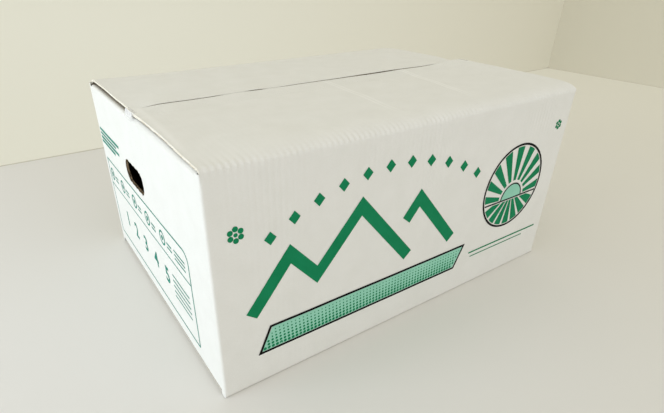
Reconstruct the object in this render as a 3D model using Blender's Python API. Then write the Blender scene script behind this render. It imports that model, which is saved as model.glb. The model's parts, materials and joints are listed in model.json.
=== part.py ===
"""A white-lined corrugated produce carton: four walls, glued bottom flaps, folding top flaps, taped seam.

Metres, +Z up. The carton stands on z = 0 with the middle of its base at the origin, its length along X.
The front wall faces -Y and the left end faces -X. Every panel between two creases is an object of its
own, and a top flap's origin lies on the crease that it folds about. The long top flaps are sprung: they
rise quickly from their creases and run level to the seam, which leaves a slot over each end wall.
"""
from math import cos, exp, radians, sin, sqrt

import bmesh
import bpy
from mathutils import Vector

# Outer size of the closed carton, measured at its creases, and its board
LENGTH = 0.495
WIDTH = 0.372
HEIGHT = 0.238
BOARD = 0.003
GAP = 0.0003            # between pieces that touch

# Folds, slots and seams
FOLD_RADIUS = 0.0030    # outside radius of a folded crease
HALF_FOLD_STEPS = 3     # facets in each half of a long crease
CORNER_RADIUS = 0.0024  # outside radius of the carton's upright corners
CORNER_STEPS = 3
FLAP_RISE = 0.0055      # how far the long top flaps stand above their creases at the seam
RISE_REACH = 0.008      # most of that rise comes within the first two or three times this distance
ARCH_STEPS = 10
LONG_FLAP_INSET = 0.0012    # a long flap stops this far short of each end wall's outer face
BACK_FLAP_SET_IN = 0.0025   # the back top flap lies this much further in at the left end
SHORT_FLAP_INSET = 0.0075   # a short flap stops this far short of each long wall's outer face
SEAM = 0.0016           # slit between the two long flaps

# Hand hole in each end wall
HOLE_WIDTH = 0.070
HOLE_HEIGHT = 0.028
HOLE_CENTRE_Z = 0.1615
HOLE_OFFSET = 0.023     # from the wall's middle, to the left of someone facing that end
HOLE_ARC_STEPS = 8

# Joining tab inside the back right corner
TAB_WIDTH = 0.035
TAB_END_CLEARANCE = 0.006   # it stops short of the short flaps above and below

# Clear tape over the top seam
TAPE_WIDTH = 0.048
TAPE_OFFSET = -0.013    # its middle line lies in front of the seam
TAPE_FILM = 0.0003
TAPE_TAIL = 0.050       # how far it turns down over each end wall

# Levels and faces worked out from the sizes above
HALF_LENGTH = LENGTH / 2
HALF_WIDTH = WIDTH / 2
LONG_FLAP_UNDERSIDE = HEIGHT - BOARD
SHORT_FLAP_TOP = LONG_FLAP_UNDERSIDE - GAP
SHORT_FLAP_UNDERSIDE = SHORT_FLAP_TOP - BOARD
END_WALL_TOP = LONG_FLAP_UNDERSIDE - GAP
MITRE_DROP = GAP * sqrt(2)      # lowers a long wall's mitred top edge clear of its flap's
WALL_FOOT = BOARD + GAP
END_WALL_INNER = HALF_LENGTH - BOARD        # inner face of an end wall, as a distance from the middle
LONG_WALL_INNER = HALF_WIDTH - BOARD
SHORT_CREASE = END_WALL_INNER - GAP         # where a short flap folds
TAPE_LEVEL = HEIGHT + FLAP_RISE + GAP       # underside of the tape on the top

WHITE_LINER = ("white_lined_board", (0.80, 0.80, 0.765), 0.72)
CLEAR_FILM = ("clear_tape_film", (0.88, 0.88, 0.84), 0.18)


def make_material(name, colour, roughness):
    """A Principled material with one colour and roughness, not metallic."""
    material = bpy.data.materials.new(name)
    material.use_nodes = True
    shader = material.node_tree.nodes["Principled BSDF"]
    shader.inputs["Base Color"].default_value = (*colour, 1.0)
    shader.inputs["Roughness"].default_value = roughness
    shader.inputs["Metallic"].default_value = 0.0
    return material


def arc(centre, radius, start, end, steps):
    """Points on an arc, both ends included, angles in degrees."""
    angles = [radians(start + (end - start) * i / steps) for i in range(steps + 1)]
    return [(centre[0] + radius * cos(a), centre[1] + radius * sin(a)) for a in angles]


def rectangle(low, high):
    """A rectangle's corners, anticlockwise."""
    (a0, b0), (a1, b1) = low, high
    return [(a0, b0), (a1, b0), (a1, b1), (a0, b1)]


def mirrored(points, side):
    """An outline drawn for the front (side -1), or its mirror image for the back (side 1)."""
    if side < 0:
        return points
    return [(-first, second) for first, second in reversed(points)]


def extrude_outline(name, points, axis, span, material, origin=(0, 0, 0)):
    """Extrudes an outline along X, Y or Z between the two values of span, about the object's origin.

    The outline's two coordinates are the other two axes in the order that keeps the frame right-handed:
    (Y, Z) along X, (Z, X) along Y and (X, Y) along Z.
    """
    order = {"X": (1, 2, 0), "Y": (2, 0, 1), "Z": (0, 1, 2)}[axis]
    bm = bmesh.new()
    ring = []
    for first, second in points:
        place = [0.0, 0.0, 0.0]
        place[order[0]] = first
        place[order[1]] = second
        place[order[2]] = span[0]
        ring.append(bm.verts.new(Vector(place) - Vector(origin)))
    face = bm.faces.new(ring)
    result = bmesh.ops.extrude_face_region(bm, geom=[face])
    step = [0.0, 0.0, 0.0]
    step[order[2]] = span[1] - span[0]
    moved = [item for item in result["geom"] if isinstance(item, bmesh.types.BMVert)]
    bmesh.ops.translate(bm, verts=moved, vec=step)
    bmesh.ops.recalc_face_normals(bm, faces=bm.faces)
    mesh = bpy.data.meshes.new(name)
    bm.to_mesh(mesh)
    bm.free()
    mesh.materials.append(make_material(*material))
    piece = bpy.data.objects.new(name, mesh)
    piece.location = origin
    bpy.context.collection.objects.link(piece)
    return piece


def fold_line(name, place, pieces):
    """An empty on a crease, which carries the pieces that fold about it."""
    empty = bpy.data.objects.new(name, None)
    empty.empty_display_size = 0.03
    empty.location = place
    bpy.context.collection.objects.link(empty)
    for piece in pieces:
        piece.parent = empty
        piece.location = Vector(piece.location) - Vector(place)


def round_upright_corners(mesh, outer_y):
    """Rounds the two upright edges where a long wall turns into the end walls."""
    bm = bmesh.new()
    bm.from_mesh(mesh)
    on_corner = [
        vert for vert in bm.verts
        if abs(vert.co.y - outer_y) < GAP / 2 and abs(abs(vert.co.x) - HALF_LENGTH) < GAP / 2
    ]
    upright = [
        edge for edge in bm.edges
        if edge.verts[0] in on_corner and edge.verts[1] in on_corner
        and abs(edge.verts[0].co.x - edge.verts[1].co.x) < GAP
    ]
    bmesh.ops.bevel(
        bm, geom=upright, offset=CORNER_RADIUS, segments=CORNER_STEPS, profile=0.5, affect="EDGES"
    )
    bm.to_mesh(mesh)
    bm.free()


def long_wall(name, side):
    """The front (side -1) or back (side 1) wall, mitred and rounded at its top crease."""
    outer, inner = -HALF_WIDTH, -LONG_WALL_INNER
    top = HEIGHT - MITRE_DROP
    fold_centre = (outer + FOLD_RADIUS, top - FOLD_RADIUS)
    fold = arc(fold_centre, FOLD_RADIUS, 135, 180, HALF_FOLD_STEPS)
    points = [(outer, WALL_FOOT), (inner, WALL_FOOT), (inner, top - BOARD), *fold]
    span = (-HALF_LENGTH, HALF_LENGTH)
    wall = extrude_outline(name, mirrored(points, side), "X", span, WHITE_LINER)
    round_upright_corners(wall.data, side * HALF_WIDTH)


def hand_hole_cutter(name, side):
    """A stadium-shaped bar that cuts the hand hole through an end wall."""
    radius = HOLE_HEIGHT / 2
    reach = HOLE_WIDTH / 2 - radius
    middle = -side * HOLE_OFFSET
    right = arc((middle + reach, HOLE_CENTRE_Z), radius, -90, 90, HOLE_ARC_STEPS)
    left = arc((middle - reach, HOLE_CENTRE_Z), radius, 90, 270, HOLE_ARC_STEPS)
    span = sorted((side * (END_WALL_INNER - BOARD), side * (HALF_LENGTH + BOARD)))
    cutter = extrude_outline(name, right + left, "X", span, WHITE_LINER)
    cutter.hide_render = True
    cutter.display_type = "WIRE"
    return cutter


def end_wall(name, side):
    """The left (side -1) or right (side 1) wall, between the long walls, with its hand hole."""
    reach = LONG_WALL_INNER - GAP
    points = rectangle((-reach, WALL_FOOT), (reach, END_WALL_TOP))
    span = sorted((side * END_WALL_INNER, side * HALF_LENGTH))
    wall = extrude_outline(name, points, "X", span, WHITE_LINER)
    cut = wall.modifiers.new("hand_hole", "BOOLEAN")
    cut.operation = "DIFFERENCE"
    cut.solver = "EXACT"
    cut.object = hand_hole_cutter(name + "_hole_cutter", side)


def glue_tab():
    """The blank's joining tab, flat against the inside of the back wall at the right-hand corner."""
    high_x = END_WALL_INNER - GAP
    high_y = LONG_WALL_INNER - GAP
    points = rectangle((high_x - TAB_WIDTH, high_y - BOARD), (high_x, high_y))
    low_z = WALL_FOOT + BOARD + TAB_END_CLEARANCE
    high_z = SHORT_FLAP_UNDERSIDE - TAB_END_CLEARANCE
    extrude_outline("glue_tab", points, "Z", (low_z, high_z), WHITE_LINER)


def rise(from_crease):
    """How far a long top flap stands above its crease, that far in from the carton's outer face."""
    return FLAP_RISE * (1 - exp(-(from_crease - FOLD_RADIUS) / RISE_REACH))


def long_top_flap(name, side, left_end, crease):
    """A long top flap from its left end on, mitred and rounded at its crease and arched up to the seam."""
    reach = HALF_WIDTH - SEAM / 2 - FOLD_RADIUS
    steps = [FOLD_RADIUS + reach * (i / ARCH_STEPS) ** 2 for i in range(ARCH_STEPS + 1)]
    underside = [(d - HALF_WIDTH, LONG_FLAP_UNDERSIDE + rise(d)) for d in steps]
    top = [(d - HALF_WIDTH, HEIGHT + rise(d)) for d in reversed(steps)]
    fold_centre = (FOLD_RADIUS - HALF_WIDTH, HEIGHT - FOLD_RADIUS)
    fold = arc(fold_centre, FOLD_RADIUS, 90, 135, HALF_FOLD_STEPS)
    points = mirrored(underside + top + fold[1:], side)
    ends = (left_end, HALF_LENGTH - LONG_FLAP_INSET)
    return extrude_outline(name, points, "X", ends, WHITE_LINER, crease)


def long_bottom_flap(name, side):
    """A long bottom flap, flat on the ground and rounded along its crease."""
    fold_centre = (FOLD_RADIUS - HALF_WIDTH, FOLD_RADIUS)
    fold = arc(fold_centre, FOLD_RADIUS, 180, 270, 2 * HALF_FOLD_STEPS)
    points = [*fold, (-SEAM / 2, 0.0), (-SEAM / 2, BOARD), (-HALF_WIDTH, BOARD)]
    ends = (-HALF_LENGTH + LONG_FLAP_INSET, HALF_LENGTH - LONG_FLAP_INSET)
    extrude_outline(name, mirrored(points, side), "X", ends, WHITE_LINER)


def short_flap(name, side, low, high, origin=(0, 0, 0)):
    """A short flap, from its crease on an end wall to as far in as the long flaps reach."""
    near, far = sorted((side * (HALF_LENGTH - HALF_WIDTH), side * SHORT_CREASE))
    reach = HALF_WIDTH - SHORT_FLAP_INSET
    points = rectangle((near, -reach), (far, reach))
    return extrude_outline(name, points, "Z", (low, high), WHITE_LINER, origin)


def top_tape(name, side, crease):
    """One part of the tape on the top, slit along the seam, on the flap that it sticks to."""
    near, far = sorted((side * SEAM / 2, TAPE_OFFSET + side * TAPE_WIDTH / 2))
    points = rectangle((near, TAPE_LEVEL), (far, TAPE_LEVEL + TAPE_FILM))
    return extrude_outline(name, points, "X", (-HALF_LENGTH, HALF_LENGTH), CLEAR_FILM, crease)


def tape_tail(name, side):
    """The tape's turned-down end, stuck to an end wall."""
    low_y = TAPE_OFFSET - TAPE_WIDTH / 2
    points = rectangle((low_y, HEIGHT - TAPE_TAIL), (low_y + TAPE_WIDTH, TAPE_LEVEL + TAPE_FILM))
    face = HALF_LENGTH + GAP
    span = sorted((side * face, side * (face + TAPE_FILM)))
    extrude_outline(name, points, "X", span, CLEAR_FILM)


def build_walls():
    long_wall("front_panel", -1)
    long_wall("back_panel", 1)
    end_wall("left_end_panel", -1)
    end_wall("right_end_panel", 1)
    glue_tab()


def build_bottom():
    """The bottom flaps, glued shut: the short pair lies on the long pair."""
    long_bottom_flap("bottom_flap_front", -1)
    long_bottom_flap("bottom_flap_back", 1)
    low = BOARD + GAP
    short_flap("bottom_flap_left", -1, low, low + BOARD)
    short_flap("bottom_flap_right", 1, low, low + BOARD)


def build_top():
    """The top flaps on their creases, each long one with its part of the tape."""
    left_end = -HALF_LENGTH + LONG_FLAP_INSET
    long_flaps = (("front", -1, left_end), ("back", 1, left_end + BACK_FLAP_SET_IN))
    for word, side, start in long_flaps:
        crease = (0, side * (HALF_WIDTH + GAP), HEIGHT)
        flap = long_top_flap("top_flap_" + word, side, start, crease)
        tape = top_tape("tape_top_" + word, side, crease)
        fold_line("crease_" + word, crease, (flap, tape))
    for word, side in (("left", -1), ("right", 1)):
        crease = (side * SHORT_CREASE, 0, SHORT_FLAP_UNDERSIDE)
        flap = short_flap("top_flap_" + word, side, SHORT_FLAP_UNDERSIDE, SHORT_FLAP_TOP, crease)
        fold_line("crease_" + word, crease, (flap,))
        tape_tail("tape_end_" + word, side)


def main():
    for item in list(bpy.data.objects):
        bpy.data.objects.remove(item, do_unlink=True)
    build_walls()
    build_bottom()
    build_top()


main()
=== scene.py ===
"""Looks for a closed, white-lined corrugated produce carton with clear tape on its seam.

Every board is built as it is made: two thin liners with a fluted sheet between them. The outer liner runs
round the four walls in one sleeve and over the creases onto the flaps.
"""

import json
from math import asin, cos, pi, radians, sin

import bpy
import numpy as np
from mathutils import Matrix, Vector, geometry


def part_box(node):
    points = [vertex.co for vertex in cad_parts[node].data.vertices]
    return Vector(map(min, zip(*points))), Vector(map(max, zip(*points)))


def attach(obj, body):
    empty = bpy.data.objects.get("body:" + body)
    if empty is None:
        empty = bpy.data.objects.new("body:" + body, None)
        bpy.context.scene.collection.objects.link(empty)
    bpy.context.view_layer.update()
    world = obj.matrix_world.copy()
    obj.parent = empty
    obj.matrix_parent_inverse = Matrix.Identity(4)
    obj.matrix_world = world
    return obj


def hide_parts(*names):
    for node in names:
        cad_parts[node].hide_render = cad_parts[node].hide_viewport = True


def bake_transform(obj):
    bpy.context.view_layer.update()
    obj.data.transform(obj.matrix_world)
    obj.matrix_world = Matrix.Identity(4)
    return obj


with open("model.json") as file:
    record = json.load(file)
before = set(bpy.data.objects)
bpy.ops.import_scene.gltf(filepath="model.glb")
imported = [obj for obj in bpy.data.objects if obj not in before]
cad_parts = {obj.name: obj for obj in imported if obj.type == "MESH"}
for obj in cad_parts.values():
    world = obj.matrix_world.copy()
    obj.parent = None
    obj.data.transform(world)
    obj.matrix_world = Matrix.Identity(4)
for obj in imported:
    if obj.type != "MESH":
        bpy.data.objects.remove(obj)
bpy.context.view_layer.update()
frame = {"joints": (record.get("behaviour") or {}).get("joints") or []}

# Sizes taken from the frame
PANEL_LOW, PANEL_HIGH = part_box("front_panel")
HALF_LENGTH = PANEL_HIGH.x
HALF_WIDTH = -PANEL_LOW.y
BOARD = PANEL_HIGH.y - PANEL_LOW.y
JOINTS = {joint["name"]: Vector(joint["pos_m"]) for joint in frame["joints"]}
CREASE_LEVEL = JOINTS["front_flap_fold"].z
SHORT_FLAP_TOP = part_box("top_flap_left")[1].z
SHORT_FLAP_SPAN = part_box("top_flap_left")[1].x + HALF_LENGTH
SHORT_FLAP_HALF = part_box("top_flap_left")[1].y
BOTTOM_SHORT_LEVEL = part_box("bottom_flap_left")[0].z
SEAM_HALF = -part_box("top_flap_front")[1].y
SEAM_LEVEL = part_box("top_flap_front")[1].z
FLAP_RISE = SEAM_LEVEL - CREASE_LEVEL

# The board
FLUTE = 0.006               # from one flute to the next
LINER = 0.0003
MEDIUM = 0.0002             # thickness of the fluted sheet
SKIN_STEP = FLUTE / 4
FLUTE_STEP = FLUTE / 8
UPRIGHT_RADIUS = 0.003      # the walls' upright corners
UPRIGHT_STEPS = 6
STEP_WIDTH = 0.00005        # a step in the sleeve's edge, beside a flap
STEP_SHARE = 0.004          # half such a step at an upright corner, as a share of its turn
FOLD_BAND = 0.009           # how far below a crease the flap's skin starts
RIGHT_END_REACH = 0.0009    # a long flap's right end lies this close to flush
SHORT_FOLD_RADIUS = 0.0040
BOTTOM_FOLD_RADIUS = 0.0030
CORNER_FOOT = 0.0006        # the sleeve's lower and upper ends at the upright corners
CORNER_HEAD = SHORT_FLAP_TOP + 0.0018

# Hand holes: a slot with round ends in each end wall
HOLE_WIDTH = 0.070
HOLE_HEIGHT = 0.028
HOLE_LEVEL = 0.1615
HOLE_CENTRE = -0.023        # along the wall: towards the back at the left end, the front at the right end
HOLE_RADIUS = HOLE_HEIGHT / 2
HOLE_STRAIGHT = HOLE_WIDTH / 2 - HOLE_RADIUS
HOLE_END_STEPS = 9

rng = np.random.default_rng(11)


def flap_reach(word, where):
    """How far a long flap's outer skin reaches to the left and to the right."""
    low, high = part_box(where + "_flap_" + word)
    return low.x, high.x + (RIGHT_END_REACH if where == "top" else 0)


def end_turn(x):
    """The share of an upright corner's turn that a long flap whose end lies at x covers."""
    beyond = (abs(x) - (HALF_LENGTH - UPRIGHT_RADIUS)) / UPRIGHT_RADIUS
    return asin(min(max(beyond, 0), 1)) / (pi / 2)


# Shared mesh helpers

def smoothstep(x, low, high):
    """0 below low, 1 above high and smooth between."""
    t = np.clip((x - low) / (high - low), 0.0, 1.0)
    return t * t * (3 - 2 * t)


def swell_waves(count, shortest, longest):
    """Random plane waves that add up to an uneven surface: rows of wave numbers and phases."""
    length = shortest * (longest / shortest) ** rng.random(count)
    heading = rng.random(count) * 2 * pi
    wave = 2 * pi / length
    return np.column_stack((wave * np.cos(heading), wave * np.sin(heading), rng.random(count) * 2 * pi))


def swell(waves, a, b):
    """The sum of the waves at (a, b), about -1 to 1."""
    total = sum(np.sin(ka * a + kb * b + phase) for ka, kb, phase in waves)
    return total / np.sqrt(len(waves))


def grid_quads(columns, rows, cyclic=False):
    """Faces of a grid whose points run column by column."""
    spans = columns if cyclic else columns - 1
    here = np.arange(spans)[:, None] * rows + np.arange(rows - 1)[None, :]
    there = (np.arange(1, spans + 1) % columns)[:, None] * rows + np.arange(rows - 1)[None, :]
    return np.stack((here, there, there + 1, here + 1), axis=-1).reshape(-1, 4)


def sheet_mesh(name, front, back, faces, material):
    """A closed thin sheet: its front and back faces, and a strip along every free edge."""
    front = np.asarray(front).reshape(-1, 3)
    back = np.asarray(back).reshape(-1, 3)
    count = len(front)
    edges = np.stack((faces, np.roll(faces, -1, axis=1)), axis=-1).reshape(-1, 2)
    key = np.sort(edges, axis=1)
    order = key[:, 0].astype(np.int64) * count + key[:, 1]
    _, index, uses = np.unique(order, return_index=True, return_counts=True)
    rim = edges[index[uses == 1]]
    sides = np.column_stack((rim[:, 1], rim[:, 0], rim[:, 0] + count, rim[:, 1] + count))
    used = np.unique(faces)
    place = np.full(2 * count, -1)
    place[used] = np.arange(len(used))
    place[used + count] = np.arange(len(used)) + len(used)
    points = np.vstack((front[used], back[used]))
    polygons = place[faces].tolist() + place[faces[:, ::-1] + count].tolist() + place[sides].tolist()
    mesh = bpy.data.meshes.new(name)
    mesh.from_pydata(points.tolist(), [], polygons)
    mesh.update()
    mesh.shade_smooth()
    mesh.set_sharp_from_angle(angle=radians(40))
    piece = bpy.data.objects.new(name, mesh)
    bpy.context.scene.collection.objects.link(piece)
    mesh.materials.append(material)
    return piece


def unit(vectors):
    """Vectors of length 1 in the same directions."""
    return vectors / np.linalg.norm(vectors, axis=-1, keepdims=True)


def unit_normals(points):
    """Normals of a grid of points (column, row, xyz), turned as its quads are."""
    return unit(np.cross(np.gradient(points, axis=0), np.gradient(points, axis=1)))


def turned(quads, flip):
    """The faces the other way round where asked."""
    return quads[:, ::-1] if flip else quads


def dress(piece, body, slot, *nodes):
    """Let a piece ride on a body, in place of the solids that it stands for. The slot is not used."""
    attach(piece, body)
    if nodes:
        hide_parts(*nodes)


# The walls, each with its middle, its direction along and its direction out

WALLS = {
    "front": {"middle": (0, -HALF_WIDTH), "along": (1, 0), "out": (0, -1), "half": HALF_LENGTH},
    "right": {"middle": (HALF_LENGTH, 0), "along": (0, 1), "out": (1, 0), "half": HALF_WIDTH},
    "back": {"middle": (0, HALF_WIDTH), "along": (-1, 0), "out": (0, 1), "half": HALF_LENGTH},
    "left": {"middle": (-HALF_LENGTH, 0), "along": (0, -1), "out": (-1, 0), "half": HALF_WIDTH},
}
LONG_WALLS = ("front", "back")
END_WALLS = ("right", "left")
WALL_WAVES = {wall: swell_waves(7, 0.05, 0.22) for wall in WALLS}
BOW = {"front": 0.0007, "right": 0.0005, "back": 0.0006, "left": 0.0004}


def ripple(s):
    """The flutes showing faintly through the liner."""
    return 0.00006 * np.cos(2 * pi * s / FLUTE)


def stripe_strength(s, z):
    """How plainly a wall's flutes show, in patches: most near its top crease."""
    patches = 0.6 + 0.45 * np.sin(31 * s + 9 * z) + 0.35 * np.sin(67 * s - 5 * z + 2)
    return np.maximum(patches, 0.15) * (0.9 + 1.5 * smoothstep(z, 0.12, 0.23))


def wall_height(wall, s, z):
    """How far the outer skin of a wall stands out at (s along, z up)."""
    half = WALLS[wall]["half"]
    inset = smoothstep(half - np.abs(s), 0.002, 0.03)
    middle = np.sin(pi * np.clip(z / CREASE_LEVEL, 0, 1))
    bow = BOW[wall] * middle * (1 - (s / half) ** 2)
    uneven = 0.00012 * swell(WALL_WAVES[wall], s, z) * middle
    return inset * (bow + uneven + ripple(s) * stripe_strength(s, z))


def wall_point(wall, s, z, depth):
    """A point on a wall, depth beneath its outer skin."""
    plan = WALLS[wall]
    out = wall_height(wall, s, z) - depth
    x = plan["middle"][0] + plan["along"][0] * s + plan["out"][0] * out
    y = plan["middle"][1] + plan["along"][1] * s + plan["out"][1] * out
    return np.stack(np.broadcast_arrays(x, y, z), axis=-1)


def along_wall(wall, low, high, step):
    """Columns along a wall, on the flutes' lattice, with closer ones at a hand hole's round ends."""
    lattice = np.arange(np.ceil(low / step), np.floor(high / step) + 1) * step
    lattice = lattice[(lattice > low + step / 4) & (lattice < high - step / 4)]
    columns = np.concatenate(([low], lattice, [high]))
    if wall not in END_WALLS:
        return columns
    round_end = HOLE_RADIUS * np.cos(np.linspace(0, pi / 2, HOLE_END_STEPS))
    ends = np.concatenate((HOLE_CENTRE - HOLE_STRAIGHT - round_end, HOLE_CENTRE + HOLE_STRAIGHT + round_end))
    clear = np.min(np.abs(columns[:, None] - ends[None, :]), axis=1) > step / 5
    return np.sort(np.concatenate((columns[clear], ends)))


def hole_edges(wall, s):
    """The levels of a hand hole's lower and upper edge at s. Outside the hole both are its middle level."""
    if wall not in END_WALLS:
        return np.full_like(s, HOLE_LEVEL), np.full_like(s, HOLE_LEVEL)
    beyond = np.maximum(np.abs(s - HOLE_CENTRE) - HOLE_STRAIGHT, 0)
    reach = np.sqrt(np.maximum(HOLE_RADIUS ** 2 - beyond ** 2, 0))
    reach[beyond > HOLE_RADIUS - 1e-7] = 0
    ragged = 0.035 * np.sin(510 * s + 1) + 0.025 * np.sin(1270 * s)
    return HOLE_LEVEL - reach * (1 + ragged), HOLE_LEVEL + reach * (1 - ragged)


def spread(low, high, shares):
    """Rows between two levels at the given shares of the way, for every column."""
    low = np.asarray(low)[:, None]
    high = np.asarray(high)[:, None]
    return low + (high - low) * shares[None, :]


def block_quads(open_columns, rows_below, rows_above, cyclic=False):
    """Faces of a grid with one hole: its rows are split in two where a column is open."""
    columns = len(open_columns)
    rows = rows_below + rows_above
    quads = grid_quads(columns, rows, cyclic).reshape(-1, rows - 1, 4)
    middle = rows_below - 1
    keep = np.ones(quads.shape[:2], bool)
    keep[:, middle] = False
    quads = quads[keep]
    closed = np.where(~open_columns)[0]
    merge = np.arange(columns * rows)
    merge[closed * rows + rows_below] = closed * rows + rows_below - 1
    return merge[quads]


LOWER_SHARES = np.linspace(0, 1, 10)
UPPER_SHARES = 1 - np.linspace(1, 0, 12) ** 1.5
FEW_SHARES = np.linspace(0, 1, 4)


# Materials

def add_node(tree, kind, **values):
    """A shader node with its named inputs or properties set."""
    node = tree.nodes.new(kind)
    for key, value in values.items():
        if key in node.inputs:
            node.inputs[key].default_value = value
        else:
            setattr(node, key, value)
    return node


def math_value(tree, operation, *values):
    """The result of a math node on sockets and numbers."""
    node = add_node(tree, "ShaderNodeMath", operation=operation)
    for socket, value in zip(node.inputs, values):
        if isinstance(value, bpy.types.NodeSocket):
            tree.links.new(value, socket)
        else:
            socket.default_value = value
    return node.outputs[0]


def ranged(tree, value, low, high, to_low=0.0, to_high=1.0, kind="SMOOTHSTEP"):
    """A value carried from the range low to high into another one."""
    node = add_node(tree, "ShaderNodeMapRange", interpolation_type=kind)
    for name, number in (("From Min", low), ("From Max", high), ("To Min", to_low), ("To Max", to_high)):
        node.inputs[name].default_value = number
    tree.links.new(value, node.inputs["Value"])
    return node.outputs["Result"]


def ramp(tree, source, stops):
    """A colour ramp on a value, with two (position, colour) stops."""
    node = add_node(tree, "ShaderNodeValToRGB")
    for element, (position, colour) in zip(node.color_ramp.elements, stops):
        element.position, element.color = position, (*colour, 1)
    tree.links.new(source, node.inputs["Fac"])
    return node.outputs["Color"]


def object_place(tree):
    """Where a point lies on its piece, in metres."""
    return add_node(tree, "ShaderNodeTexCoord").outputs["Object"]


def axes(tree, place):
    """The three coordinates of a place."""
    split = add_node(tree, "ShaderNodeSeparateXYZ")
    tree.links.new(place, split.inputs["Vector"])
    return split.outputs


def noise_value(tree, place, scale, detail):
    """Fine procedural noise."""
    node = add_node(tree, "ShaderNodeTexNoise", Scale=scale, Detail=detail)
    tree.links.new(place, node.inputs["Vector"])
    return node.outputs["Fac"]


def new_material(name):
    """A material with its node tree and its shader."""
    material = bpy.data.materials.new(name)
    material.use_nodes = True
    return material, material.node_tree, material.node_tree.nodes["Principled BSDF"]


def paper_material(name, light, dark, roughness, grain=0.25):
    """Paper: a mottled colour between light and dark, with fibres in the bump."""
    material, tree, shader = new_material(name)
    shader.inputs["Roughness"].default_value = roughness
    place = object_place(tree)
    cloud = noise_value(tree, place, 45, 3)
    fibre = noise_value(tree, place, 900, 4)
    blend = add_node(tree, "ShaderNodeMix", data_type="RGBA", blend_type="MIX")
    blend.inputs["Factor"].default_value = 0.45
    tree.links.new(cloud, blend.inputs["A"])
    tree.links.new(fibre, blend.inputs["B"])
    colour = ramp(tree, blend.outputs["Result"], ((0.32, dark), (0.62, light)))
    tree.links.new(colour, shader.inputs["Base Color"])
    bump = add_node(tree, "ShaderNodeBump", Strength=grain, Distance=0.0001)
    tree.links.new(fibre, bump.inputs["Height"])
    tree.links.new(bump.outputs["Normal"], shader.inputs["Normal"])
    return material


MARK_FADE = (0.015, 0.075)      # how far in from the front crease the marks begin to show, and show fully
# How far the ridges' colour goes towards the lighter one: a painted highlight along the ridges.
MARK_HIGHLIGHT_SHARE = 0.8


def add_marks(material, marks, light):
    """Faint raised lines pressed into the board, each a straight one across it: a real raised bump, and a
    lighter colour along each ridge that is a painted highlight.

    A mark has its x at y = 0, how far x moves for each unit of y, half the gap between its two ridges, half
    a ridge's width and its strength.
    """
    tree = material.node_tree
    shader = tree.nodes["Principled BSDF"]
    colour = shader.inputs["Base Color"].links[0].from_socket
    grain = shader.inputs["Normal"].links[0].from_socket
    x, y, _ = axes(tree, object_place(tree))
    clear = ranged(tree, y, MARK_FADE[0] - HALF_WIDTH, MARK_FADE[1] - HALF_WIDTH)
    lines = None
    for x_at, lean, half_gap, half_width, strength in marks:
        across = math_value(tree, "ADD", x, math_value(tree, "MULTIPLY_ADD", y, -lean, -x_at))
        beside = math_value(tree, "SUBTRACT", math_value(tree, "ABSOLUTE", across), half_gap)
        ridge = ranged(tree, math_value(tree, "ABSOLUTE", beside), 0.0, half_width, strength, 0.0)
        lines = math_value(tree, "MAXIMUM", lines, ridge) if lines else ridge
    lines = math_value(tree, "MULTIPLY", clear, lines)
    # Painted highlight: the base colour turns lighter along the ridges.
    mix = add_node(tree, "ShaderNodeMix", data_type="RGBA", blend_type="MIX")
    tree.links.new(math_value(tree, "MULTIPLY", lines, MARK_HIGHLIGHT_SHARE), mix.inputs["Factor"])
    tree.links.new(colour, mix.inputs[6])
    mix.inputs[7].default_value = (*light, 1)
    tree.links.new(mix.outputs[2], shader.inputs["Base Color"])
    raised = add_node(tree, "ShaderNodeBump", Strength=0.35, Distance=0.0004)
    tree.links.new(lines, raised.inputs["Height"])
    tree.links.new(grain, raised.inputs["Normal"])
    tree.links.new(raised.outputs["Normal"], shader.inputs["Normal"])


WHITE, TOP_WHITE = (paper_material(name, (0.81, 0.805, 0.765), (0.775, 0.77, 0.725), 0.6)
                    for name in ("white_liner", "white_liner_top"))
# The pressed ridges on the front top flap, with a painted highlight: a lighter colour along them.
add_marks(TOP_WHITE, ((-0.004, 0.116, 0.0026, 0.0025, 0.65), (0.124, 0.218, 0.0026, 0.0025, 0.85),
                      (-0.2368, 0.028, 0.0, 0.0050, 0.55)), (0.91, 0.905, 0.87))
KRAFT = paper_material("kraft_liner", (0.36, 0.27, 0.165), (0.29, 0.21, 0.125), 0.8, 0.5)
FLUTING = paper_material("fluting_paper", (0.42, 0.32, 0.20), (0.32, 0.235, 0.14), 0.85, 0.5)
CUT_EDGE = paper_material("cut_edge", (0.86, 0.825, 0.73), (0.71, 0.64, 0.50), 0.8, 0.5)


def ink_material(name, colour, worn):
    """Matte ink that the board's texture shows through: its colour, thinner in places."""
    material = paper_material(name, colour, worn, 0.7, 0.15)
    material.node_tree.nodes["Principled BSDF"].inputs["Specular IOR Level"].default_value = 0.12
    return material


GREEN_INK = ink_material("green_ink", (0.003, 0.205, 0.080), (0.006, 0.235, 0.098))
PALE_INK = ink_material("pale_green_ink", (0.28, 0.61, 0.46), (0.33, 0.66, 0.51))
BLACK_INK = ink_material("black_ink", (0.004, 0.0045, 0.0045), (0.010, 0.011, 0.011))
TABLE_INK = ink_material("table_ink", (0.010, 0.20, 0.14), (0.030, 0.27, 0.20))


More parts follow.
